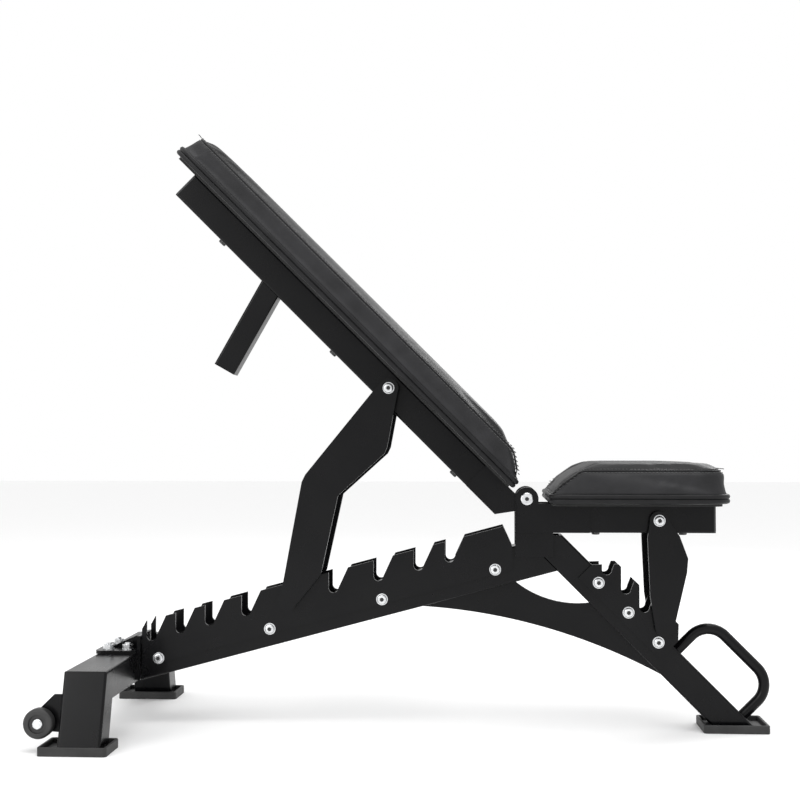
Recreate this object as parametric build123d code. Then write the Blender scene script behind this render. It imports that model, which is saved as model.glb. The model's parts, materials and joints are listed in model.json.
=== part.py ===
from build123d import *
import math
import os

# Adjustable weight bench. X runs from the wheels (-) to the seat end (+), Y across, Z up, floor at Z = 0.
# Left is +Y, as seen by someone who sits facing the seat end.

# Main pivot, shared by the back and the seat
pivot_x = 73.0
pivot_z = 395.0
pivot_radius = 8.0
lobe_radius = 20.0

# Width of the spine and the leg, which the ladder plates and hinge posts stand against
frame_wide = 60.0

# Spine, which rises from the rear base to the front leg
spine_angle = 15.0
spine_size = 60.0
spine_wall = 3.0
spine_foot_x = -554.0
spine_foot_z = 89.0
spine_rear_x = -598.0

# Front leg
leg_deep = 49.5
leg_wall = 3.0
leg_top_sum = 466.0
leg_head_z = 332.0

# Feet
foot_length = 111.0
foot_height = 14.0
foot_floor = 6.0
foot_rim = 5.0
front_foot_width = 93.0
rear_foot_width = 78.0
front_foot_x = 425.5
rear_foot_x = -646.5

# Rear base
beam_deep = 70.0
beam_tall = 50.0
beam_wall = 3.0
beam_front_x = -604.0
beam_top_z = 125.0
beam_half = 231.0
rear_leg_splay = 17.5
mount_plate_half = 53.0
mount_plate_thick = 6.0

# Plates, bolts and clearances
plate_thick = 5.0
ear_thick = 4.0
ear_gap = 1.0
side_gap = 0.3
bolt_gap = 0.25
bolt_radius = 5.0
washer_radius = 10.0
washer_thick = 1.5
head_radius = 8.5
head_height = 5.0
pivot_head_radius = 11.0
pivot_head_height = 4.0

# Ladders
pin_radius = 8.0
pin_seat_gap = 0.5
back_pin_line = 10.0
back_tooth_rise = 28.0
ladder_low = 22.0
back_angles = [0, 15, 25, 35, 45, 55, 65, 75, 85]
ladder_bolt_first = -567.0
ladder_bolt_pitch = 202.0
ladder_bolt_count = 4
seat_pin_line = 12.0
seat_tooth_rise = 21.0
seat_angles = [0, 7.7, 13.7, 18.6]
seat_ladder_bolt_x = 195.0
seat_ladder_pitch = 71.3
seat_ladder_bolts = 3

# Back, measured along it from the pivot (s) and square to it (v)
back_rest = 45.0
tube_size = 50.0
tube_wall = 2.5
tube_drop = 8.0
tube_corner = 4.0
back_tube_start = 20.0
back_tube_short = 26.0
ear_overlap = 70.0
pad_half = 150.0
pad_start = 34.0
back_pad_end = 838.0
board_thick = 12.0
board_inset = 12.0
back_pad_top = 52.0
pad_corner = 45.0
bevel_low = 22.0
back_bevel_run = 44.0
strut_bolt_s = 303.0
strut_bolt_v = -33.0
stop_leg_s = 578.0
stop_leg_length = 163.0
stop_frame_wide = 40.0
stop_leg_angle = 15.4

# Seat
seat_tube_start = 67.0
seat_tube_short = 12.0
seat_pad_end = 330.0
seat_pad_top = 60.0
seat_bevel_run = 52.0
seat_bolt_s = 224.0
seat_bolt_v = -36.0

# Struts straddle the ladders, with their inner faces this far from the middle
strut_inner = 44.0
strut_boss = 17.0
stub_end_gap = 0.5

# Handle
handle_radius = 9.5
handle_wall = 2.0
handle_reach = 75.0
handle_bend = 40.0
handle_top_x = 332.0
handle_span = 157.0

# Transport wheels
wheel_behind = 33.0
wheel_z = 46.0
wheel_radius = 24.0
wheel_width = 20.0
wheel_outboard = 9.6
wheel_bolt_radius = 4.0
wheel_bush_radius = 7.0
wheel_gap = 0.3

os.makedirs("parts", exist_ok=True)
nodes = {}


def plate(points, near, far):
    """A flat plate: an outline in X and Z, from one Y to another."""
    outline = Polyline([(x, near, z) for x, z in points], close=True)
    return extrude(make_face(outline), amount=far - near, dir=(0, 1, 0))


def disc(x, z, radius, near, far):
    """A cylinder along Y."""
    return Pos(x, (near + far) / 2, z) * Rot(90, 0, 0) * Cylinder(radius, far - near)


def bored(piece, holes, radius):
    """Bore a piece across its whole width at each X, Z place."""
    for x, z in holes:
        piece = piece - disc(x, z, radius, -300, 300)
    return piece


def box_tube(start, direction, x_side, across, deep, wall, length):
    """A square-section tube from a start point on its middle line."""
    where = Plane(origin=start, x_dir=x_side, z_dir=direction)
    outer = RectangleRounded(across, deep, tube_corner)
    inner = RectangleRounded(across - 2 * wall, deep - 2 * wall, tube_corner - wall / 2)
    return extrude(where * (outer - inner), amount=length, dir=direction)


def keep_side(piece, point, normal):
    """Keep what lies on the side of the plane that its normal points to."""
    return split(piece, bisect_by=Plane(origin=point, z_dir=normal), keep=Keep.TOP)


def both_sides(piece):
    return {"right": piece, "left": mirror(piece, about=Plane.XZ)}


def pair(piece):
    """A piece and its mirror image as one group of two solids."""
    return Compound(children=[piece, mirror(piece, about=Plane.XZ)])


def polar(x, z, angle, distance):
    turn = math.radians(angle)
    return (x + distance * math.cos(turn), z + distance * math.sin(turn))


def dome_head(x, z, radius, height, face):
    """A button head standing on the near side of the plane Y = -face."""
    head = disc(x, z, radius, -face - height, -face)
    rim = head.edges().sort_by(Axis.Y)[0]
    return fillet(rim, height * 0.6)


def ring(x, z, outer, inner, near, far):
    return disc(x, z, outer, near, far) - disc(x, z, inner, near, far)


def hex_nut(x, z, across_flats, bore, near, far):
    outline = RegularPolygon(across_flats / 2, 6, major_radius=False)
    body = extrude(Plane(origin=(x, near, z), x_dir=(1, 0, 0), z_dir=(0, 1, 0)) * outline, amount=far - near)
    return body - disc(x, z, bore, near, far)


def add_bolts(name, places, radius, face):
    """Bolts across the bench, each with a washer and a head on the right and a washer and a nut on the left."""
    bolts = []
    washers = []
    nuts = []
    seat = face + washer_thick
    for x, z in places:
        shank = disc(x, z, radius, -seat, seat + head_height)
        bolts.append(shank + dome_head(x, z, head_radius, head_height, seat))
        washers.append(ring(x, z, washer_radius, radius + bolt_gap, -seat, -face))
        washers.append(ring(x, z, washer_radius, radius + bolt_gap, face, seat))
        nuts.append(hex_nut(x, z, 2 * head_radius, radius, seat, seat + head_height))
    nodes[name + "_bolts"] = Compound(children=bolts)
    nodes[name + "_washers"] = Compound(children=washers)
    nodes[name + "_nuts"] = Compound(children=nuts)


# Lines of the spine and the leg
slope = math.tan(math.radians(spine_angle))
spine_dir = (math.cos(math.radians(spine_angle)), math.sin(math.radians(spine_angle)))
root2 = math.sqrt(2)
leg_low_sum = leg_top_sum - leg_deep * root2
plate_outer = frame_wide / 2 + plate_thick
ear_inner = plate_outer + side_gap
ear_outer = ear_inner + ear_thick


def spine_line(x, rise):
    """Height at X of the line this far above the spine's underside."""
    return spine_foot_z + slope * (x - spine_foot_x) + rise / spine_dir[0]


def on_leg(along_x, rise):
    """The point this far above the leg's top face, over the face's own point at X."""
    return (along_x + rise / root2, leg_top_sum - along_x + rise / root2)


# Strut kinematics: where each pin seat has to be
def back_bolt(angle):
    along = polar(pivot_x, pivot_z, 180 - angle, strut_bolt_s)
    return polar(along[0], along[1], 90 - angle, strut_bolt_v)


def seat_bolt(angle):
    along = polar(pivot_x, pivot_z, angle, seat_bolt_s)
    return polar(along[0], along[1], 90 + angle, seat_bolt_v)


def reach_line(centre, radius, height_at, low, high):
    """The X between low and high at which a line is this far from the centre."""
    for _ in range(60):
        middle = (low + high) / 2
        far_away = math.hypot(middle - centre[0], height_at(middle) - centre[1]) > radius
        if far_away:
            low = middle
        else:
            high = middle
    return (low + high) / 2


def back_pin_height(x):
    return spine_line(x, spine_size + back_pin_line)


rest_pin_x = -340.0
rest_pin = (rest_pin_x, back_pin_height(rest_pin_x))
rest_bolt = back_bolt(back_rest)
strut_length = math.hypot(rest_bolt[0] - rest_pin[0], rest_bolt[1] - rest_pin[1])
back_pins = []
for angle in back_angles:
    centre = back_bolt(angle)
    pin_x = reach_line(centre, strut_length, back_pin_height, centre[0] - 500, centre[0] - 60)
    back_pins.append((pin_x, back_pin_height(pin_x)))


def seat_pin_height(x):
    return leg_top_sum + seat_pin_line * root2 - x


seat_rest_bolt = seat_bolt(0)
seat_rest_pin_x = 305.0
seat_rest_pin = (seat_rest_pin_x, seat_pin_height(seat_rest_pin_x))
seat_strut_length = math.hypot(seat_rest_bolt[0] - seat_rest_pin[0], seat_rest_bolt[1] - seat_rest_pin[1])


def seat_pin(angle):
    """The seat's pin seat on the ladder at a seat angle, on the side below the bolt."""
    centre = seat_bolt(angle)
    # On the line X + Z = total, the distance to the bolt gives a quadratic in X.
    total = leg_top_sum + seat_pin_line * root2
    half_sum = (centre[0] + total - centre[1]) / 2
    spread = seat_strut_length ** 2 - (centre[0] + centre[1] - total) ** 2 / 2
    x = half_sum - math.sqrt(spread / 2)
    mirrored = half_sum + math.sqrt(spread / 2)
    x = mirrored if abs(mirrored - seat_rest_pin_x) < abs(x - seat_rest_pin_x) else x
    return (x, total - x)


seat_pins = [seat_pin(angle) for angle in seat_angles]

# Spine
spine_mid = (spine_foot_x - 80 * spine_dir[0] - spine_size / 2 * spine_dir[1],
             spine_foot_z - 80 * spine_dir[1] + spine_size / 2 * spine_dir[0])
spine = box_tube((spine_mid[0], 0, spine_mid[1]), (spine_dir[0], 0, spine_dir[1]), (0, 1, 0),
                 frame_wide, spine_size, spine_wall, 860)
spine = keep_side(spine, (spine_rear_x, 0, 0), (1, 0, 0))
spine = keep_side(spine, (leg_low_sum, 0, 0), (-1, 0, -1))
ladder_bolts = []
for step in range(ladder_bolt_count):
    bolt_x = ladder_bolt_first + step * ladder_bolt_pitch * spine_dir[0]
    ladder_bolts.append((bolt_x, spine_line(bolt_x, spine_size / 2)))
nodes["spine_tube"] = bored(spine, ladder_bolts, bolt_radius + bolt_gap)

# Front leg
leg_start = on_leg(20, -leg_deep / 2)
leg = box_tube((leg_start[0], 0, leg_start[1]), (1, 0, -1), (0, 1, 0), frame_wide, leg_deep, leg_wall, 700)
leg = keep_side(leg, (0, 0, leg_head_z), (0, 0, -1))
leg = keep_side(leg, (0, 0, foot_floor), (0, 0, 1))
seat_bolt_places = []
for step in range(seat_ladder_bolts):
    bolt_x = seat_ladder_bolt_x + step * seat_ladder_pitch / root2
    seat_bolt_places.append((bolt_x, leg_top_sum - bolt_x - 19))
nodes["front_leg_tube"] = bored(leg, seat_bolt_places, bolt_radius + bolt_gap)


def tray_foot(x, y, width):
    body = Pos(x, y, foot_height / 2) * Box(foot_length, width, foot_height)
    body = fillet(body.edges().filter_by(Axis.Z), 6)
    pocket_height = foot_height - foot_floor
    pocket = Box(foot_length - 2 * foot_rim, width - 2 * foot_rim, pocket_height)
    body = body - Pos(x, y, foot_floor + pocket_height / 2) * pocket
    return chamfer(body.edges().group_by(Axis.Z)[-1], 1)


nodes["front_foot"] = tray_foot(front_foot_x, 0, front_foot_width)

# Rear base: a crossbeam with two mitred, splayed legs
beam_x = beam_front_x - beam_deep / 2
beam_z = beam_top_z - beam_tall / 2
splay = math.radians(rear_leg_splay)
leg_dir = (0, -math.sin(splay), -math.cos(splay))
mitre = (0, -1 - math.sin(splay), -math.cos(splay))
corner = (beam_x, -beam_half, beam_top_z)
beam = box_tube((beam_x, -beam_half - 40, beam_z), (0, 1, 0), (1, 0, 0), beam_deep, beam_tall, beam_wall,
                2 * beam_half + 80)
beam = keep_side(beam, corner, (0, -mitre[1], -mitre[2]))
beam = keep_side(beam, (beam_x, beam_half, beam_top_z), (0, mitre[1], -mitre[2]))
leg_axis_y = -beam_half + beam_tall / 2 * math.cos(splay)
leg_axis_z = beam_top_z - beam_tall / 2 * math.sin(splay)
rear_leg_start = (beam_x, leg_axis_y - 60 * leg_dir[1], leg_axis_z - 60 * leg_dir[2])
rear_leg = box_tube(rear_leg_start, leg_dir, (1, 0, 0), beam_deep, beam_tall, beam_wall, 260)
rear_leg = keep_side(rear_leg, corner, mitre)
rear_leg = keep_side(rear_leg, (0, 0, foot_floor), (0, 0, 1))
for side, piece in both_sides(rear_leg).items():
    nodes["rear_leg_" + side] = piece
foot_y = leg_axis_y - (leg_axis_z - foot_floor) * math.tan(splay)
for side, piece in both_sides(tray_foot(rear_foot_x, foot_y, rear_foot_width)).items():
    nodes["rear_foot_" + side] = piece

# Mount plate on the crossbeam, with bolts down through it
mount_rear_x = beam_front_x - beam_deep - 2
mount_top = beam_top_z + mount_plate_thick
mount = Pos((mount_rear_x + beam_front_x) / 2, 0, beam_top_z + mount_plate_thick / 2)
mount = mount * Box(beam_front_x - mount_rear_x, 2 * mount_plate_half, mount_plate_thick)
mount = fillet(mount.edges().filter_by(Axis.Z).group_by(Axis.X)[0], 12)
base_bolts = []
base_washers = []
base_nuts = []
bolt_floor = beam_top_z - beam_wall
for dx in (-17, 17):
    for y in (-34, 34):
        at = Pos(beam_x + dx, y, 0)
        hole = at * Pos(0, 0, beam_top_z) * Cylinder(bolt_radius + bolt_gap, 40)
        mount = mount - hole
        beam = beam - hole
        shank_top = mount_top + washer_thick + head_height + 5
        shank = Pos(0, 0, (bolt_floor - 1 + shank_top) / 2) * Cylinder(bolt_radius, shank_top - bolt_floor + 1)
        head = Pos(0, 0, bolt_floor - head_height / 2) * Cylinder(head_radius, head_height)
        base_bolts.append(at * (shank + head))
        washer = Cylinder(washer_radius, washer_thick) - Cylinder(bolt_radius + bolt_gap, washer_thick)
        base_washers.append(at * Pos(0, 0, mount_top + washer_thick / 2) * washer)
        nut = extrude(RegularPolygon(head_radius, 6, major_radius=False), amount=head_height + 2)
        nut = Pos(0, 0, mount_top + washer_thick) * (nut - Cylinder(bolt_radius, 40))
        base_nuts.append(at * nut)
nodes["rear_crossbeam"] = beam
nodes["rear_mount_plate"] = mount
nodes["rear_base_bolts"] = Compound(children=base_bolts)
nodes["rear_base_washers"] = Compound(children=base_washers)
nodes["rear_base_nuts"] = Compound(children=base_nuts)

# End plate between the crossbeam and the spine, and two brackets that tie it to the mount plate
end_top = spine_line(spine_rear_x, spine_size) + 16
end_low = beam_top_z - beam_tall + 4
nodes["spine_end_plate"] = plate([(beam_front_x, end_low), (spine_rear_x, end_low), (spine_rear_x, end_top),
                                  (beam_front_x, end_top)], -42, 42)
bracket = plate([(beam_front_x - 55, mount_top), (beam_front_x, mount_top), (beam_front_x, end_top)],
                -12, -12 + plate_thick)
nodes["rear_brackets"] = pair(bracket)


def slot_cutter(x, z, lean_left, lean_right, height):
    """A round-bottomed slot whose walls lean by these amounts for each unit of height."""
    seat = pin_radius + pin_seat_gap
    walls = plate([(x - seat, z), (x - seat + lean_left * height, z + height),
                   (x + seat + lean_right * height, z + height), (x + seat, z)], -80, 80)
    return walls + disc(x, z, seat, -80, 80)


# Back ladder plates
tooth_top = spine_size + back_pin_line + back_tooth_rise
ladder_rear = spine_rear_x + 1
ladder_front = pivot_x - lobe_radius - 5
outline = [(ladder_rear, spine_line(ladder_rear, ladder_low)), (ladder_front, spine_line(ladder_front, ladder_low)),
           (ladder_front, spine_line(ladder_front, spine_size)),
           (ladder_front - 16, spine_line(ladder_front - 16, tooth_top)),
           (ladder_rear + 8, spine_line(ladder_rear + 8, tooth_top)),
           (ladder_rear, spine_line(ladder_rear, tooth_top - 12))]
ladder = plate(outline, -plate_outer, -frame_wide / 2)
slot_lean = 1 / math.tan(math.radians(65))
for x, z in back_pins:
    ladder = ladder - slot_cutter(x, z, 0, slot_lean, 60)
ladder = bored(ladder, ladder_bolts, bolt_radius + bolt_gap)


def sections(piece, cuts):
    """Cut a long toothed plate into sections that meet face to face at these X places."""
    rest = piece
    parts = []
    for x in cuts:
        parts.append(keep_side(rest, (x, 0, 0), (-1, 0, 0)))
        rest = keep_side(rest, (x, 0, 0), (1, 0, 0))
    return Compound(children=parts + [rest])


def tooth_cut(slot):
    """The X halfway over the flat of the tooth after this slot."""
    slot_top = back_pins[slot][0] + pin_radius + slot_lean * back_tooth_rise
    return (slot_top + back_pins[slot + 1][0] - pin_radius) / 2


back_cuts = [tooth_cut(slot) for slot in range(len(back_pins) - 1)]
for side, piece in both_sides(ladder).items():
    nodes["back_ladder_" + side] = sections(piece, back_cuts)

# Seat ladder plates, with an upright wall behind each hook
first_x = seat_pins[-1][0] - 26
last_x = seat_pins[0][0] + 8
seat_outline = [on_leg(first_x, -32), on_leg(last_x + 8, -32), on_leg(last_x + 8, seat_pin_line),
                on_leg(last_x - 6, seat_pin_line + seat_tooth_rise),
                on_leg(first_x + 22, seat_pin_line + seat_tooth_rise), on_leg(first_x, 0)]
seat_ladder = plate(seat_outline, -plate_outer, -frame_wide / 2)
for x, z in seat_pins:
    seat_ladder = seat_ladder - slot_cutter(x, z, 0, 0.4, 60)
seat_ladder = bored(seat_ladder, seat_bolt_places, bolt_radius + bolt_gap)
for side, piece in both_sides(seat_ladder).items():
    nodes["seat_ladder_" + side] = piece
add_bolts("ladder", ladder_bolts + seat_bolt_places, bolt_radius, plate_outer)

# Curved gusset under the joint of spine and leg
gusset_rear = -115.0
gusset_inner_rear = 52.0
gusset_inner_front = 182.0
gusset_front = 305.0
p_rear = (gusset_rear, 0, spine_line(gusset_rear, 0))
p_in_rear = (gusset_inner_rear, 0, spine_line(gusset_inner_rear, 0))
p_in_front = (gusset_inner_front, 0, leg_low_sum - gusset_inner_front)
p_front = (gusset_front, 0, leg_low_sum - gusset_front)
edge = Line(p_rear, p_in_rear) + ThreePointArc(p_in_rear, (115, 0, 219), p_in_front)
edge = edge + Line(p_in_front, p_front) + ThreePointArc(p_front, (105, 0, 171), p_rear)
nodes["gusset_plate"] = extrude(make_face(edge), amount=4, dir=(0, 1, 0), both=True)

# Hinge post plates on both sides of the spine and leg joint
post = plate([(pivot_x - lobe_radius, pivot_z), (pivot_x - lobe_radius, 295), (pivot_x + 45, 295),
              (pivot_x + 45, 340), (pivot_x + lobe_radius, pivot_z - 8), (pivot_x + lobe_radius, pivot_z)],
             -plate_outer, -frame_wide / 2)
post = post + disc(pivot_x, pivot_z, lobe_radius, -plate_outer, -frame_wide / 2)
post = bored(post, [(pivot_x, pivot_z)], pivot_radius + bolt_gap)
nodes["hinge_posts"] = pair(post)

# Main pivot bolt and nut
pivot_bolt = disc(pivot_x, pivot_z, pivot_radius, -ear_outer, ear_outer + pivot_head_height)
pivot_bolt = pivot_bolt + dome_head(pivot_x, pivot_z, pivot_head_radius, pivot_head_height, ear_outer)
nodes["main_pivot_bolt"] = pivot_bolt
nut_near = ear_outer + side_gap / 2
nodes["main_pivot_nut"] = hex_nut(pivot_x, pivot_z, 2 * pivot_head_radius, pivot_radius, nut_near,
                                  ear_outer + pivot_head_height)

# Carry handle on the leg's top face
handle_step = handle_span / root2
foot_a = on_leg(handle_top_x, 0)
foot_b = on_leg(handle_top_x + handle_step, 0)
top_a = on_leg(handle_top_x, handle_reach)
top_b = on_leg(handle_top_x + handle_step, handle_reach)
path = FilletPolyline((foot_a[0], 0, foot_a[1]), (top_a[0], 0, top_a[1]), (top_b[0], 0, top_b[1]),
                      (foot_b[0], 0, foot_b[1]), radius=handle_bend)
handle_profile = Plane(origin=(foot_a[0], 0, foot_a[1]), z_dir=(1, 0, 1)) * (
    Circle(handle_radius) - Circle(handle_radius - handle_wall))
nodes["carry_handle"] = sweep(handle_profile, path=path)

# Transport wheels on plate brackets behind the rear legs
wheel_x = beam_x - beam_deep / 2 - wheel_behind
wheel_y = wheel_outboard - foot_y
bracket_far = -wheel_y + wheel_width / 2 + wheel_gap
leg_rear_x = beam_x - beam_deep / 2
wheel_bracket = plate([(leg_rear_x, 30), (leg_rear_x, 90), (leg_rear_x - 12, 90), (wheel_x - 12, wheel_z + 12),
                       (wheel_x - 12, wheel_z - 12), (wheel_x, wheel_z - 14)], bracket_far, bracket_far + plate_thick)
wheel_bracket = wheel_bracket + disc(wheel_x, wheel_z, 15, bracket_far, bracket_far + plate_thick)
wheel_bracket = bored(wheel_bracket, [(wheel_x, wheel_z)], wheel_bolt_radius + bolt_gap)
wheel_near = -wheel_y - wheel_width / 2
wheel = disc(wheel_x, wheel_z, wheel_radius, wheel_near, -wheel_y + wheel_width / 2)
wheel = fillet(wheel.edges().filter_by(GeomType.CIRCLE), 4)
wheel = wheel - disc(wheel_x, wheel_z, wheel_radius - 9, wheel_near, wheel_near + 3)
wheel = wheel - disc(wheel_x, wheel_z, wheel_bush_radius + wheel_gap / 6, -300, -200)
bush = ring(wheel_x, wheel_z, wheel_bush_radius, wheel_bolt_radius, wheel_near + 3, bracket_far)
wheel_head = dome_head(wheel_x, wheel_z, head_radius, 4, -(wheel_near + 3))
wheel_bolt = disc(wheel_x, wheel_z, wheel_bolt_radius, wheel_near + 3, bracket_far + plate_thick + 8) + wheel_head
wheel_nut = hex_nut(wheel_x, wheel_z, 14, wheel_bolt_radius, bracket_far + plate_thick,
                    bracket_far + plate_thick + 6)
for label, piece in (("wheel_brackets", wheel_bracket), ("wheel_bushes", bush), ("wheel_bolts", wheel_bolt),
                     ("wheel_nuts", wheel_nut)):
    nodes[label] = pair(piece)
for side, piece in both_sides(wheel).items():
    nodes["transport_wheel_" + side] = piece

# The back is built lying flat with the pivot at the origin, then turned up to its rest angle.
back_place = Pos(pivot_x, 0, pivot_z) * Rot(0, back_rest, 0)
seat_place = Pos(pivot_x, 0, pivot_z)
tube_low = -tube_drop - tube_size
back_tube_end = back_pad_end - back_tube_short
back_tube_wide = frame_wide - 2 * (ear_thick + ear_gap)
seat_tube_end = seat_pad_end - seat_tube_short
tube_mid = -tube_drop - tube_size / 2


def place_back(name, piece):
    nodes[name] = back_place * piece


def place_seat(name, piece):
    nodes[name] = seat_place * piece


def end_plug(x, width, sign):
    """A plastic plug with a flange over the tube's end and a body inside it."""
    flange = Pos(x + sign * 1.5, 0, tube_mid) * Box(3, width, tube_size)
    flange = fillet(flange.edges().filter_by(Axis.X), tube_corner)
    room = 2 * (tube_wall + side_gap)
    body = Pos(x - sign * 8, 0, tube_mid) * Box(16, width - room, tube_size - room)
    body = fillet(body.edges().filter_by(Axis.X), tube_corner - 1)
    return flange + body


def pad_solid(end, top, bevel_run, sign):
    """A plain pad with rounded corners at its far end and a bevel towards the hinge."""
    bottom = -tube_drop + board_thick
    points = [(sign * pad_start, bottom), (sign * end, bottom), (sign * end, top),
              (sign * (pad_start + bevel_run), top), (sign * pad_start, bevel_low)]
    body = plate(points, -pad_half, pad_half)
    ends = body.edges().filter_by(Axis.Z).group_by(Axis.X)
    far = ends[-1] if sign > 0 else ends[0]
    body = fillet(far, pad_corner)
    near = body.edges().filter_by(Axis.Z).group_by(Axis.X)[0 if sign > 0 else -1]
    return fillet(near, 14)


def board(end, sign):
    start = pad_start + board_inset / 2
    length = end - board_inset - start
    middle = sign * (start + length / 2)
    body = Pos(middle, 0, -tube_drop + board_thick / 2) * Box(length, 2 * (pad_half - board_inset), board_thick)
    return fillet(body.edges().filter_by(Axis.Z), 20)


# Backrest
bolt_s = -strut_bolt_s
back_tube = box_tube((-back_tube_start, 0, tube_mid), (-1, 0, 0), (0, 1, 0), back_tube_wide, tube_size, tube_wall,
                     back_tube_end - back_tube_start)
place_back("back_tube", bored(back_tube, [(bolt_s, strut_bolt_v)], bolt_radius + bolt_gap))
place_back("back_tube_plug", end_plug(-back_tube_end, back_tube_wide, -1))
ear_root = -back_tube_start - ear_overlap
ear_far = back_tube_wide / 2 + ear_thick
ear = plate([(lobe_radius * 0.5, -17), (-back_tube_start, tube_low), (ear_root, tube_low), (ear_root, -tube_drop),
             (2 - lobe_radius, -tube_drop), (2 - lobe_radius, 0)], -ear_far, -back_tube_wide / 2)
ear = ear + disc(0, 0, lobe_radius, -ear_far, -back_tube_wide / 2)
sleeve_outer = pivot_radius + 4
ear = bored(ear, [(0, 0)], sleeve_outer)
place_back("back_ears", pair(ear))
sleeve_half = frame_wide / 2 - side_gap
place_back("pivot_sleeve", ring(0, 0, sleeve_outer, pivot_radius + 0.05, -sleeve_half, sleeve_half))
place_back("back_board", board(back_pad_end, -1))
place_back("back_pad", pad_solid(back_pad_end, back_pad_top, back_bevel_run, -1))

# Stop leg that meets the spine when the back is flat
lean = math.radians(stop_leg_angle)
stop_dir = (math.sin(lean), 0, -math.cos(lean))
stop_leg = box_tube((-stop_leg_s - 20 * stop_dir[0], 0, tube_low - 20 * stop_dir[2]), stop_dir, (0, 1, 0),
                    stop_frame_wide, stop_frame_wide, tube_wall, stop_leg_length + 20)
place_back("stop_leg", keep_side(stop_leg, (0, 0, tube_low), (0, 0, -1)))
bolts = []
for s in (120, 420, back_tube_end - 112):
    head = Pos(-s, 0, tube_low - 2.5) * Cylinder(7, 5)
    bolts.append(fillet(head.edges().group_by(Axis.Z)[0], 2))
place_back("back_pad_bolts", Compound(children=bolts))


def add_strut_bolt(place, label, x, z, half):
    """A bolt through a tube and both strut plates, with a spacer on each side of the tube."""
    outer = strut_inner + plate_thick
    seat = outer + washer_thick
    bolt = disc(x, z, bolt_radius, -seat - side_gap, seat + head_height)
    place(label + "_strut_bolt", bolt + dome_head(x, z, head_radius, head_height, seat + side_gap))
    washer = ring(x, z, washer_radius, bolt_radius + bolt_gap, -seat - side_gap, -outer - side_gap)
    place(label + "_strut_washers", pair(washer))
    place(label + "_strut_nut", hex_nut(x, z, 2 * head_radius, bolt_radius, seat + side_gap, seat + head_height))
    spacer = ring(x, z, 9, bolt_radius + bolt_gap, -strut_inner + side_gap, -half)
    place(label + "_spacers", pair(spacer))


add_strut_bolt(place_back, "back", bolt_s, strut_bolt_v, back_tube_wide / 2)

# Back strut, laid out from its bolt along (t) and square to (w) the line to its pin
strut_dir = ((rest_pin[0] - rest_bolt[0]) / strut_length, (rest_pin[1] - rest_bolt[1]) / strut_length)


def strut_point(t, w):
    return (rest_bolt[0] + t * strut_dir[0] - w * strut_dir[1], rest_bolt[1] + t * strut_dir[1] + w * strut_dir[0])


knee = strut_length * 0.5
strut_outline = [(0, -strut_boss), (16, -22), (knee - 6, -66), (knee + 8, -66), (strut_length - 25, -20),
                 (strut_length, -strut_boss), (strut_length, strut_boss), (strut_length - 66, 33),
                 (knee + 2, 1), (knee * 0.52, 42), (knee * 0.46, 42), (34, 26), (0, strut_boss)]
points = [strut_point(t, w) for t, w in strut_outline]
strut_outer = strut_inner + plate_thick
strut = plate(points, -strut_outer, -strut_inner)
strut = strut + disc(rest_bolt[0], rest_bolt[1], strut_boss, -strut_outer, -strut_inner)
strut = strut + disc(rest_pin[0], rest_pin[1], strut_boss, -strut_outer, -strut_inner)
strut = bored(strut, [rest_bolt], bolt_radius + bolt_gap)
nodes["back_strut_plates"] = pair(strut)
web_at = strut_point(knee + 25, -46)
nodes["back_strut_tie"] = disc(web_at[0], web_at[1], 9, -strut_inner, strut_inner)
stub_end = plate_outer + stub_end_gap
stub = disc(rest_pin[0], rest_pin[1], pin_radius, -strut_inner, -stub_end)
nodes["back_strut_pins"] = pair(stub)

# Seat
seat_width = 2 * ear_inner
seat_tube = box_tube((seat_tube_start, 0, tube_mid), (1, 0, 0), (0, 1, 0), seat_width, tube_size, tube_wall,
                     seat_tube_end - seat_tube_start)
place_seat("seat_tube", bored(seat_tube, [(seat_bolt_s, seat_bolt_v)], bolt_radius + bolt_gap))
place_seat("seat_tube_plug", end_plug(seat_tube_end, seat_width, 1))
seat_ear = plate([(-17, 0), (-17, tube_low), (seat_tube_start + 40, tube_low), (seat_tube_start + 40, -tube_drop),
                  (lobe_radius - 2, -tube_drop), (lobe_radius - 2, 0)], -ear_outer, -ear_inner)
seat_ear = seat_ear + disc(0, 0, lobe_radius, -ear_outer, -ear_inner)
seat_ear = bored(seat_ear, [(0, 0)], pivot_radius + 0.05)
place_seat("seat_ears", pair(seat_ear))
place_seat("seat_board", board(seat_pad_end, 1))
place_seat("seat_pad", pad_solid(seat_pad_end, seat_pad_top, seat_bevel_run, 1))
bolts = []
for s in (120, seat_tube_end - 48):
    head = Pos(s, 0, tube_low - 2.5) * Cylinder(7, 5)
    bolts.append(fillet(head.edges().group_by(Axis.Z)[0], 2))
place_seat("seat_pad_bolts", Compound(children=bolts))
add_strut_bolt(place_seat, "seat", seat_bolt_s, seat_bolt_v, seat_width / 2)

# Seat strut: two bulged plates
b_x, b_z = seat_rest_bolt
n_x, n_z = seat_rest_pin
seat_strut = plate([(b_x - 16, b_z), (b_x - 20, b_z - 30), (b_x - 16, b_z - 130), (n_x - 16, n_z), (n_x + 16, n_z),
                    (b_x + 46, b_z - 88), (b_x + 48, b_z - 64), (b_x + 34, b_z - 26), (b_x + 16, b_z)],
                   -strut_outer, -strut_inner)
seat_strut = seat_strut + disc(b_x, b_z, 16, -strut_outer, -strut_inner)
seat_strut = seat_strut + disc(n_x, n_z, 16, -strut_outer, -strut_inner)
seat_strut = bored(seat_strut, [seat_rest_bolt], bolt_radius + bolt_gap)
nodes["seat_strut_plates"] = pair(seat_strut)
nodes["seat_strut_tie"] = disc(b_x + 30, b_z - 72, 8, -strut_inner, strut_inner)
stub = disc(n_x, n_z, pin_radius, -strut_inner, -stub_end)
nodes["seat_strut_pins"] = pair(stub)

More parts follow.
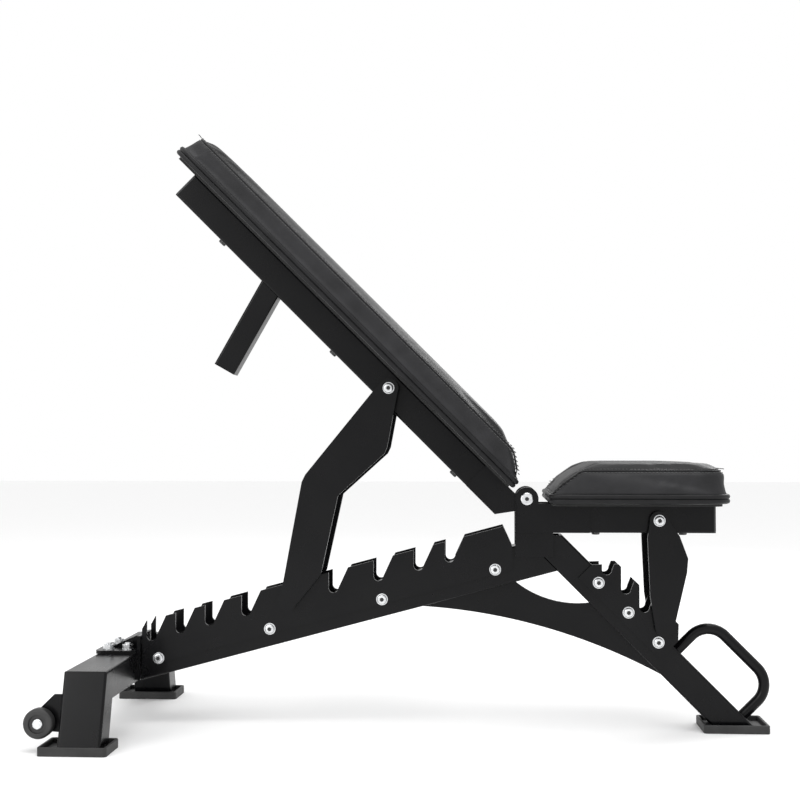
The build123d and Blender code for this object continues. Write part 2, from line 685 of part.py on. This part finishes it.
# The finished frame has its origin under the middle of the whole bench.
boxes = [piece.bounding_box() for piece in nodes.values()]
middle_x = (min(b.min.X for b in boxes) + max(b.max.X for b in boxes)) / 2
for name, piece in nodes.items():
    export_step(Pos(-middle_x, 0, 0) * piece, "parts/" + name + ".step")

print("nodes", len(nodes), "shift", round(-middle_x, 3))
print("back pins", [(round(x - middle_x, 2), round(z, 2)) for x, z in back_pins])
print("seat pins", [(round(x - middle_x, 2), round(z, 2)) for x, z in seat_pins])
for label, place in (("pivot", (pivot_x, pivot_z)), ("strut bolt", rest_bolt), ("seat bolt", seat_rest_bolt),
                     ("wheel", (wheel_x, wheel_z))):
    print(label, round(place[0] - middle_x, 3), round(place[1], 3))
print("wheel y", round(wheel_y, 3), "foot y", round(foot_y, 3))
for angle, pin in zip(back_angles, back_pins):
    bolt = back_bolt(angle)
    turn = math.degrees(math.atan2(pin[1] - bolt[1], pin[0] - bolt[0])) - (180 - angle)
    print("back", angle, "strut to back", round(turn % 360, 2))
for angle, pin in zip(seat_angles, seat_pins):
    bolt = seat_bolt(angle)
    turn = math.degrees(math.atan2(pin[1] - bolt[1], pin[0] - bolt[0])) - angle
    print("seat", angle, "strut to seat", round(turn, 2))
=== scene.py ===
import json
import math

import bmesh
import bpy
from mathutils import Matrix, Vector
from mathutils.bvhtree import BVHTree


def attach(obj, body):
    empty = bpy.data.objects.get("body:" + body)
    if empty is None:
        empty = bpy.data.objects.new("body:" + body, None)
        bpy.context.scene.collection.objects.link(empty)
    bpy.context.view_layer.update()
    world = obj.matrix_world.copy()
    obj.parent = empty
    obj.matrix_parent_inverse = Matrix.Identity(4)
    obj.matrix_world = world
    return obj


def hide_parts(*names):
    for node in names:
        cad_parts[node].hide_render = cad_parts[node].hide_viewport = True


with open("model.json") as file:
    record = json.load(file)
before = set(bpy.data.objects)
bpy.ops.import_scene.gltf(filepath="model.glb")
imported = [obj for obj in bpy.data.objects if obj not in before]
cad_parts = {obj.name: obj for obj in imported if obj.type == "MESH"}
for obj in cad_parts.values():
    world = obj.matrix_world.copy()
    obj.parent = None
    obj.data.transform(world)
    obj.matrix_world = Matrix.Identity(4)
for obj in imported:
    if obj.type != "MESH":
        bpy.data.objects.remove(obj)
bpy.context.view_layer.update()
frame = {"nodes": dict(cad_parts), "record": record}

nodes = frame["nodes"]
record = frame["record"]
hinges = {joint["name"]: joint for joint in record["behaviour"]["joints"]}
slotOf = {part["node"]: part["material_slot"] for part in record["subparts"]}
pivot = Vector(hinges["back_hinge"]["pos_m"])
print("frame loaded:", len(nodes), "nodes")


cameraSetup = {"lens": 61.4, "sensor": 36, "aheadOfPivot": -0.073, "distance": 2.396, "height": 0.491,
               "turnLeft": 0.0617, "tiltUp": 0.0316}
studio = {"floorSize": 30.0, "floorColour": (0.93, 0.93, 0.93, 1), "floorRoughness": 0.9,
          "worldColour": (1, 1, 1, 1), "worldStrength": 1.0}
# Each light's name, place, target, size and power.
lights = [("softTop", (0.2, -0.6, 3.2), (0, 0, 0.4), (2.6, 1.6), 46),
          ("softFront", (-2.2, -3.0, 1.6), (0, 0, 0.5), (1.4, 1.8), 34),
          ("softRear", (1.6, 2.6, 2.2), (0, 0, 0.6), (1.6, 1.2), 30)]


def addCamera():
    data = bpy.data.cameras.new("benchCamera")
    data.lens = cameraSetup["lens"]
    data.sensor_width = cameraSetup["sensor"]
    camera = bpy.data.objects.new("benchCamera", data)
    bpy.context.scene.collection.objects.link(camera)
    across = pivot.x + cameraSetup["aheadOfPivot"]
    camera.location = (across, -cameraSetup["distance"], cameraSetup["height"])
    aim = Vector((-cameraSetup["turnLeft"], 1, cameraSetup["tiltUp"]))
    camera.rotation_euler = aim.to_track_quat("-Z", "Y").to_euler()
    bpy.context.scene.camera = camera


def addAreaLight(name, place, target, size, power):
    data = bpy.data.lights.new(name, "AREA")
    data.shape = "RECTANGLE"
    data.size, data.size_y = size
    data.energy = power
    lamp = bpy.data.objects.new(name, data)
    lamp.location = place
    lamp.rotation_euler = (Vector(target) - Vector(place)).to_track_quat("-Z", "Y").to_euler()
    bpy.context.scene.collection.objects.link(lamp)


def addStudio():
    half = studio["floorSize"] / 2
    mesh = bpy.data.meshes.new("studioFloor")
    corners = [(-half, -half, 0), (half, -half, 0), (half, half, 0), (-half, half, 0)]
    mesh.from_pydata(corners, [], [(0, 1, 2, 3)])
    floor = bpy.data.objects.new("studioFloor", mesh)
    bpy.context.scene.collection.objects.link(floor)
    paper = bpy.data.materials.new("studioPaper")
    paper.use_nodes = True
    shader = paper.node_tree.nodes["Principled BSDF"]
    shader.inputs["Base Color"].default_value = studio["floorColour"]
    shader.inputs["Roughness"].default_value = studio["floorRoughness"]
    mesh.materials.append(paper)
    world = bpy.data.worlds.new("studioWorld")
    world.use_nodes = True
    background = world.node_tree.nodes["Background"]
    background.inputs["Color"].default_value = studio["worldColour"]
    background.inputs["Strength"].default_value = studio["worldStrength"]
    bpy.context.scene.world = world
    for light in lights:
        addAreaLight(*light)
    bpy.context.scene.view_settings.view_transform = "Standard"


addCamera()
addStudio()
print("camera and studio ready")


def newMaterial(name, colour, roughness, metallic=0.0):
    material = bpy.data.materials.new(name)
    material.use_nodes = True
    shader = material.node_tree.nodes["Principled BSDF"]
    shader.inputs["Base Color"].default_value = (*colour, 1)
    shader.inputs["Roughness"].default_value = roughness
    shader.inputs["Metallic"].default_value = metallic
    return material, material.node_tree, shader


def addNode(tree, kind, **settings):
    node = tree.nodes.new(kind)
    for key, value in settings.items():
        node.inputs[key].default_value = value
    return node


def placeCoordinates(tree):
    return tree.nodes.new("ShaderNodeTexCoord").outputs["Object"]


def varyRoughness(tree, shader, source, low, high):
    spread = tree.nodes.new("ShaderNodeMapRange")
    spread.inputs["To Min"].default_value = low
    spread.inputs["To Max"].default_value = high
    tree.links.new(source, spread.inputs["Value"])
    tree.links.new(spread.outputs["Result"], shader.inputs["Roughness"])


def varyColour(tree, shader, source, dark, light):
    ramp = tree.nodes.new("ShaderNodeValToRGB")
    ramp.color_ramp.elements[0].position = 0.3
    ramp.color_ramp.elements[1].position = 0.75
    ramp.color_ramp.elements[0].color = (*dark, 1)
    ramp.color_ramp.elements[1].color = (*light, 1)
    tree.links.new(source, ramp.inputs["Fac"])
    tree.links.new(ramp.outputs["Color"], shader.inputs["Base Color"])


def addBump(tree, shader, source, strength, distance):
    bump = tree.nodes.new("ShaderNodeBump")
    bump.inputs["Strength"].default_value = strength
    bump.inputs["Distance"].default_value = distance
    tree.links.new(source, bump.inputs["Height"])
    tree.links.new(bump.outputs["Normal"], shader.inputs["Normal"])


def noise(tree, coordinates, scale, detail=3.0):
    node = addNode(tree, "ShaderNodeTexNoise", Scale=scale, Detail=detail)
    tree.links.new(coordinates, node.inputs["Vector"])
    return node.outputs["Fac"]


def makePaint():
    look = {"dark": (0.0015, 0.0015, 0.002), "light": (0.004, 0.004, 0.0045), "orangePeel": 520.0}
    material, tree, shader = newMaterial("glossBlackPaint", look["dark"], 0.25)
    shader.inputs["Specular IOR Level"].default_value = 0.14
    shader.inputs["Coat Weight"].default_value = 0.08
    shader.inputs["Coat Roughness"].default_value = 0.1
    place = placeCoordinates(tree)
    varyColour(tree, shader, noise(tree, place, 9.0), look["dark"], look["light"])
    varyRoughness(tree, shader, noise(tree, place, 14.0, 5.0), 0.2, 0.36)
    addBump(tree, shader, noise(tree, place, look["orangePeel"], 2.0), 0.12, 0.0004)
    return material


def makeLeatherette(name, dark, light, roughLow, roughHigh):
    look = {"grain": 520.0, "creases": 170.0, "depth": 0.0004}
    material, tree, shader = newMaterial(name, dark, roughLow)
    shader.inputs["Specular IOR Level"].default_value = 0.22
    place = placeCoordinates(tree)
    grain = addNode(tree, "ShaderNodeTexVoronoi", Scale=look["grain"])
    tree.links.new(place, grain.inputs["Vector"])
    mix = tree.nodes.new("ShaderNodeMath")
    mix.operation = "ADD"
    tree.links.new(grain.outputs["Distance"], mix.inputs[0])
    tree.links.new(noise(tree, place, look["creases"], 4.0), mix.inputs[1])
    varyColour(tree, shader, noise(tree, place, 26.0, 6.0), dark, light)
    varyRoughness(tree, shader, noise(tree, place, 60.0, 4.0), roughLow, roughHigh)
    addBump(tree, shader, mix.outputs["Value"], 0.3, look["depth"])
    return material


def makeMoulded(name, dark, light, rough, grainScale):
    material, tree, shader = newMaterial(name, dark, rough)
    place = placeCoordinates(tree)
    varyColour(tree, shader, noise(tree, place, 30.0, 4.0), dark, light)
    varyRoughness(tree, shader, noise(tree, place, 50.0), rough - 0.1, rough + 0.1)
    addBump(tree, shader, noise(tree, place, grainScale, 3.0), 0.3, 0.0003)
    return material


def makeZinc():
    material, tree, shader = newMaterial("brightZinc", (0.72, 0.73, 0.74), 0.25, 1.0)
    place = placeCoordinates(tree)
    varyColour(tree, shader, noise(tree, place, 130.0, 4.0), (0.58, 0.59, 0.6), (0.84, 0.85, 0.86))
    varyRoughness(tree, shader, noise(tree, place, 260.0), 0.18, 0.36)
    addBump(tree, shader, noise(tree, place, 900.0), 0.15, 0.0002)
    return material


def makeBacking():
    material, tree, shader = newMaterial("wovenBacking", (0.012, 0.012, 0.012), 0.85)
    place = placeCoordinates(tree)
    weave = addNode(tree, "ShaderNodeTexWave", Scale=260.0, Distortion=1.2)
    tree.links.new(place, weave.inputs["Vector"])
    varyColour(tree, shader, weave.outputs["Fac"], (0.008, 0.008, 0.008), (0.028, 0.028, 0.028))
    varyRoughness(tree, shader, noise(tree, place, 90.0), 0.75, 0.95)
    addBump(tree, shader, weave.outputs["Fac"], 0.4, 0.0004)
    return material


finishes = {
    "frame_paint": makePaint(),
    "pad_cover": makeLeatherette("topLeatherette", (0.005, 0.005, 0.0055), (0.011, 0.011, 0.012), 0.42, 0.58),
    "board": makeBacking(),
    "foot_rubber": makeMoulded("footRubber", (0.012, 0.012, 0.012), (0.028, 0.028, 0.028), 0.62, 420.0),
    "wheel_rubber": makeMoulded("wheelRubber", (0.014, 0.014, 0.014), (0.03, 0.03, 0.03), 0.55, 300.0),
    "black_plastic": makeMoulded("plugPlastic", (0.015, 0.015, 0.015), (0.026, 0.026, 0.026), 0.45, 600.0),
    "zinc": makeZinc(),
    "dark_bolt": makeMoulded("blackOxide", (0.02, 0.02, 0.02), (0.05, 0.05, 0.05), 0.4, 500.0),
}
# Painted light: the pad sides get a lighter copy of the same leatherette, standing in for light falling on
# the sides; the top keeps the darker copy.
sideCoverPaintedLight = makeLeatherette("sideLeathPaintedLight", (0.014, 0.014, 0.015), (0.026, 0.026, 0.028), 0.46, 0.62)
threadFinish = makeMoulded("stitchThread", (0.03, 0.03, 0.03), (0.06, 0.06, 0.06), 0.7, 900.0)
socketPaintedShade = makeMoulded("socketShadow", (0.01, 0.01, 0.01), (0.02, 0.02, 0.02), 0.6, 300.0)

for nodeName, nodeObject in nodes.items():
    finish = finishes[slotOf[nodeName]]
    if nodeObject.material_slots:
        for materialSlot in nodeObject.material_slots:
            materialSlot.material = finish
    else:
        nodeObject.data.materials.append(finish)
print("materials on", len(nodes), "nodes")


backPad = {"name": "backCushion", "body": "backrest", "node": "back_pad",
           "start": 0.034, "end": 0.838, "half": 0.150, "bottom": 0.004, "top": 0.052,
           "bevelLow": 0.022, "bevelRun": 0.044, "farCorner": 0.045, "nearCorner": 0.014,
           "crown": 0.004, "swell": 0.005, "sign": -1, "turn": 45.0}
seatPad = {"name": "seatCushion", "body": "seat", "node": "seat_pad",
           "start": 0.034, "end": 0.330, "half": 0.150, "bottom": 0.004, "top": 0.060,
           "bevelLow": 0.022, "bevelRun": 0.052, "farCorner": 0.045, "nearCorner": 0.014,
           "crown": 0.004, "swell": 0.005, "sign": 1, "turn": 0.0}
# Each ring's distance in from the pad's edge, and its share of the pad's height.
cushionProfile = [(0.030, 0.0), (0.004, 0.0), (0.001, 0.05), (0.0025, 0.2), (0.005, 0.45), (0.004, 0.66),
                  (0.0025, 0.78), (0.003, 0.86), (0.006, 0.93), (0.013, 0.98), (0.026, 1.0), (0.045, 1.0),
                  (0.07, 1.0), (0.10, 1.0), (0.125, 1.0)]
seamBelow = 0.010
thread = {"length": 0.0042, "gap": 0.0022, "thick": 0.0008, "upperDrop": 0.0072, "lowerDrop": 0.0128}
lips = {"lowerLift": -0.0035, "upperLift": 0.0040, "castHeight": 0.005, "spacing": 0.008, "proud": 0.0006,
        "radius": 0.0044}
welt = {"spacing": 0.008, "proud": 0.0002, "radius": 0.0018}


# Turns a pad's own along, across and up into the bench's frame.
def toWorld(pad, point):
    turn = Matrix.Rotation(math.radians(pad["turn"]), 3, "Y")
    return pivot + turn @ Vector((pad["sign"] * point[0], point[1], point[2]))


def padTop(pad, along):
    rise = (pad["top"] - pad["bevelLow"]) / pad["bevelRun"]
    bevel = pad["bevelLow"] + (along - pad["start"]) * rise
    soft = 0.004
    gap = pad["top"] - bevel
    blend = max(soft - abs(gap), 0) ** 2 / (4 * soft)
    return min(pad["top"], bevel) - blend


# The pad's plan outline, evenly stepped, this far inside its edge.
def planOutline(pad, inset, spacing=0.008):
    low, high, half = pad["start"] + inset, pad["end"] - inset, pad["half"] - inset
    leastRadius = 0.004
    far = max(pad["farCorner"] - inset, leastRadius)
    near = max(pad["nearCorner"] - inset, leastRadius)
    corners = [((high - far, half - far), far, 0), ((low + near, half - near), near, 90),
               ((low + near, -half + near), near, 180), ((high - far, -half + far), far, 270)]
    line = []
    cornerSteps = 8
    for centre, radius, first in corners:
        for step in range(cornerSteps + 1):
            turn = math.radians(first + step * 90 / cornerSteps)
            line.append(Vector((centre[0] + radius * math.cos(turn), centre[1] + radius * math.sin(turn))))
    lengths = [0.0]
    for here, after in zip(line, line[1:] + line[:1]):
        lengths.append(lengths[-1] + (after - here).length)
    count = round((2 * (pad["end"] - pad["start"]) + 4 * pad["half"]) / spacing)
    points = []
    edge = 0
    for step in range(count):
        want = lengths[-1] * step / count
        while lengths[edge + 1] < want:
            edge += 1
        share = (want - lengths[edge]) / max(lengths[edge + 1] - lengths[edge], 1e-9)
        points.append(line[edge].lerp(line[(edge + 1) % len(line)], share))
    return points


def linkMesh(name, verts, faces, smooth=True):
    mesh = bpy.data.meshes.new(name)
    mesh.from_pydata([tuple(v) for v in verts], [], faces)
    mesh.validate()
    mesh.update()
    if smooth:
        mesh.polygons.foreach_set("use_smooth", [True] * len(mesh.polygons))
    piece = bpy.data.objects.new(name, mesh)
    bpy.context.scene.collection.objects.link(piece)
    return piece


# Rings of the outline, from under the board's edge up the sides and in over the crown.
def loftCushion(pad):
    crownRun = 0.10
    verts, faces = [], []
    for inset, share in cushionProfile:
        for point in planOutline(pad, inset):
            high = pad["bottom"] + share * (padTop(pad, point.x) - pad["bottom"])
            crown = pad["crown"] * min(inset / crownRun, 1) if share == 1.0 else 0
            verts.append(Vector((point.x, point.y, high + crown - pad["swell"] * share)))
    ring = len(verts) // len(cushionProfile)
    for level in range(len(cushionProfile) - 1):
        for step in range(ring):
            after = (step + 1) % ring
            lower, upper = level * ring, (level + 1) * ring
            faces.append((lower + step, lower + after, upper + after, upper + step))
    faces.append(tuple(reversed(range(ring))))
    faces.append(tuple(range(len(verts) - ring, len(verts))))
    return linkMesh(pad["name"], verts, faces)


def applyModifiers(piece):
    evaluated = piece.evaluated_get(bpy.context.evaluated_depsgraph_get())
    final = bpy.data.meshes.new_from_object(evaluated)
    piece.modifiers.clear()
    piece.data = final


# Swells the cover with a short cloth run, held along its underside.
def inflate(piece, pad):
    cloth = {"voxel": 0.006, "pressure": 4.0, "frames": 20, "mostMove": 0.006, "heldHeight": 0.006,
             "quality": 5, "stiffness": 25}
    remesh = piece.modifiers.new("evenMesh", "REMESH")
    remesh.mode = "VOXEL"
    remesh.voxel_size = cloth["voxel"]
    applyModifiers(piece)
    before = [vertex.co.copy() for vertex in piece.data.vertices]
    held = piece.vertex_groups.new(name="held")
    low = pad["bottom"] + cloth["heldHeight"]
    held.add([index for index, co in enumerate(before) if co.z < low], 1.0, "REPLACE")
    sim = piece.modifiers.new("cover", "CLOTH")
    sim.settings.use_pressure = True
    sim.settings.uniform_pressure_force = cloth["pressure"]
    sim.settings.effector_weights.gravity = 0
    sim.settings.vertex_group_mass = "held"
    sim.settings.quality = cloth["quality"]
    sim.settings.tension_stiffness = cloth["stiffness"]
    sim.settings.compression_stiffness = cloth["stiffness"]
    scene = bpy.context.scene
    for step in range(1, cloth["frames"] + 1):
        scene.frame_set(step)
    evaluated = piece.evaluated_get(bpy.context.evaluated_depsgraph_get())
    moved = [vertex.co.copy() for vertex in evaluated.data.vertices]
    piece.modifiers.clear()
    for vertex, old, new in zip(piece.data.vertices, before, moved):
        shift = new - old
        if shift.length > cloth["mostMove"]:
            shift *= cloth["mostMove"] / shift.length
        vertex.co = old + shift
    scene.frame_set(1)


# Presses the seam groove into the sides, after the cover has swelled.
def sewCushion(piece, pad):
    groove = {"depth": 0.0022, "width": 0.0035, "reach": 0.02}
    for vertex in piece.data.vertices:
        co = vertex.co
        height = padTop(pad, co.x) - seamBelow
        closeness = math.exp(-((co.z - height) / groove["width"]) ** 2)
        inward = Vector((0, 0, 0))
        if abs(co.y) > pad["half"] - groove["reach"]:
            inward.y = -math.copysign(1, co.y)
        if co.x > pad["end"] - groove["reach"]:
            inward.x = -1
        if co.x < pad["start"] + groove["reach"]:
            inward.x = 1
        vertex.co = co + inward * groove["depth"] * closeness


# Places round the pad where the finished cover lies at a height, each with its way out and along.
def coverLine(pad, cover, heightAt, spacing):
    cast = {"from": 0.02, "length": 0.04, "ifMissed": 0.024}
    outline = planOutline(pad, 0.0, spacing)
    line = []
    for step, point in enumerate(outline):
        ahead = (outline[(step + 1) % len(outline)] - outline[step - 1]).normalized()
        out = Vector((ahead.y, -ahead.x, 0))
        start = Vector((point.x, point.y, heightAt(point.x))) + out * cast["from"]
        hit = cover.ray_cast(start, -out, cast["length"])[0]
        line.append((hit or start - out * cast["ifMissed"], out, Vector((ahead.x, ahead.y, 0))))
    return line


# A round bead that runs once round the pad, standing this far out of the cover.
def sweepLoop(name, line, proud, radius, sides=8):
    verts, faces = [], []
    for place, out, ahead in line:
        middle = place + out * proud
        for side in range(sides):
            turn = 2 * math.pi * side / sides
            verts.append(middle + out * radius * math.cos(turn) + Vector((0, 0, radius * math.sin(turn))))
    count = len(line)
    for step in range(count):
        after = (step + 1) % count
        for side in range(sides):
            nextSide = (side + 1) % sides
            faces.append((step * sides + side, after * sides + side, after * sides + nextSide,
                          step * sides + nextSide))
    return linkMesh(name, verts, faces)


# A row of short raised stitches that lie on the cover.
def stitchRow(name, line, thread):
    verts, faces = [], []
    for place, out, ahead in line:
        base = len(verts)
        for share, size in ((-0.5, 0.5), (-0.25, 1.0), (0.25, 1.0), (0.5, 0.5)):
            middle = place + ahead * share * thread["length"]
            reach = thread["thick"] * size
            verts += [middle + out * reach, middle + Vector((0, 0, reach)), middle - out * reach,
                      middle - Vector((0, 0, reach))]
        for level in range(3):
            for side in range(4):
                here = base + level * 4 + side
                after = base + level * 4 + (side + 1) % 4
                faces.append((here, after, after + 4, here + 4))
        faces.append((base + 3, base + 2, base + 1, base))
        faces.append((base + 12, base + 13, base + 14, base + 15))
    return linkMesh(name, verts, faces)


# Moves a finished piece from the pad's own frame into the bench's and fixes it to its body.
def settle(piece, pad, material):
    for vertex in piece.data.vertices:
        vertex.co = toWorld(pad, vertex.co)
    if pad["sign"] < 0:
        piece.data.flip_normals()
    cleaner = bmesh.new()
    cleaner.from_mesh(piece.data)
    bmesh.ops.recalc_face_normals(cleaner, faces=cleaner.faces)
    cleaner.to_mesh(piece.data)
    cleaner.free()
    piece.data.polygons.foreach_set("use_smooth", [True] * len(piece.data.polygons))
    if material:
        piece.data.materials.append(material)
    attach(piece, pad["body"])


def makeCushion(pad):
    cushion = loftCushion(pad)
    inflate(cushion, pad)
    sewCushion(cushion, pad)
    cover = BVHTree.FromPolygons([vertex.co.copy() for vertex in cushion.data.vertices],
                                 [tuple(polygon.vertices) for polygon in cushion.data.polygons])
    # Faces below the seam get the lighter side copy, which paints light onto the pad's sides.
    paintedLightSideMask = [polygon.center.z < padTop(pad, polygon.center.x) - seamBelow
                for polygon in cushion.data.polygons]
    cushion.data.materials.append(finishes["pad_cover"])
    cushion.data.materials.append(sideCoverPaintedLight)
    for polygon, isSide in zip(cushion.data.polygons, paintedLightSideMask):
        polygon.material_index = 1 if isSide else 0
    settle(cushion, pad, None)
    smooth = cushion.modifiers.new("smoothCover", "SUBSURF")
    smooth.levels = smooth.render_levels = 1
    applyModifiers(cushion)
    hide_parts(pad["node"])
    for lip, lift in (("lowerLip", lips["lowerLift"]), ("upperLip", lips["upperLift"])):
        castLine = coverLine(pad, cover, lambda along: pad["bottom"] + lips["castHeight"], lips["spacing"])
        lipLine = [(Vector((point.x, point.y, pad["bottom"] + lift)), out, ahead)
                   for point, out, ahead in castLine]
        bead = sweepLoop(pad["name"] + "_" + lip, lipLine, lips["proud"], lips["radius"])
        settle(bead, pad, finishes["pad_cover"])
    for row, drop in (("upperStitch", thread["upperDrop"]), ("lowerStitch", thread["lowerDrop"])):
        stitchLine = coverLine(pad, cover, lambda along: padTop(pad, along) - drop,
                               thread["length"] + thread["gap"])
        settle(stitchRow(pad["name"] + "_" + row, stitchLine, thread), pad, threadFinish)
    weltLine = coverLine(pad, cover, lambda along: padTop(pad, along) - seamBelow, welt["spacing"])
    bead = sweepLoop(pad["name"] + "_seamWelt", weltLine, welt["proud"], welt["radius"])
    settle(bead, pad, finishes["pad_cover"])
    print(pad["name"], "made with", len(cushion.data.polygons), "faces")


makeCushion(backPad)
makeCushion(seatPad)


# Painted shade: each bolt head gets a dark hex cap standing slightly proud of its face, in place of the shade
# inside its hex socket.
socket = {"across": 0.0066, "depth": 0.0006, "proud": 0.00015, "turn": 15}


def addSocket(name, centre, face, body):
    verts, faces = [], []
    for y in (face + socket["depth"], face - socket["proud"]):
        for corner in range(6):
            turn = math.radians(60 * corner + socket["turn"])
            radius = socket["across"] / 2 / math.cos(math.radians(30))
            verts.append((centre[0] + radius * math.cos(turn), y, centre[1] + radius * math.sin(turn)))
    for corner in range(6):
        after = (corner + 1) % 6
        faces.append((corner, after, 6 + after, 6 + corner))
    faces.append(tuple(range(6)))
    faces.append(tuple(reversed(range(6, 12))))
    piece = linkMesh(name, verts, faces, smooth=False)
    piece.data.materials.append(socketPaintedShade)
    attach(piece, body)


# The box of each separate solid in a node's mesh.
def splitIslands(node):
    mesh = nodes[node].data
    parent = list(range(len(mesh.vertices)))

    def find(index):
        while parent[index] != index:
            parent[index] = parent[parent[index]]
            index = parent[index]
        return index

    byPlace = {}
    for vertex in mesh.vertices:
        key = tuple(round(c, 5) for c in vertex.co)
        if key in byPlace:
            parent[find(vertex.index)] = find(byPlace[key])
        byPlace[key] = vertex.index
    for edge in mesh.edges:
        first, second = find(edge.vertices[0]), find(edge.vertices[1])
        parent[first] = second
    boxes = {}
    for vertex in mesh.vertices:
        boxes.setdefault(find(vertex.index), []).append(vertex.co)
    ends = []
    for places in boxes.values():
        low = Vector(min(place[axis] for place in places) for axis in range(3))
        high = Vector(max(place[axis] for place in places) for axis in range(3))
        ends.append((low, high))
    return ends


headNodes = {"ladder_bolts": "base", "main_pivot_bolt": "base", "back_strut_bolt": "backrest",
             "seat_strut_bolt": "seat"}
for node, body in headNodes.items():
    for number, (low, high) in enumerate(splitIslands(node)):
        middle = (low + high) / 2
        addSocket(f"{node}_socket_{number + 1}", (middle.x, middle.z), low.y, body)
print("sockets on the bolt heads")
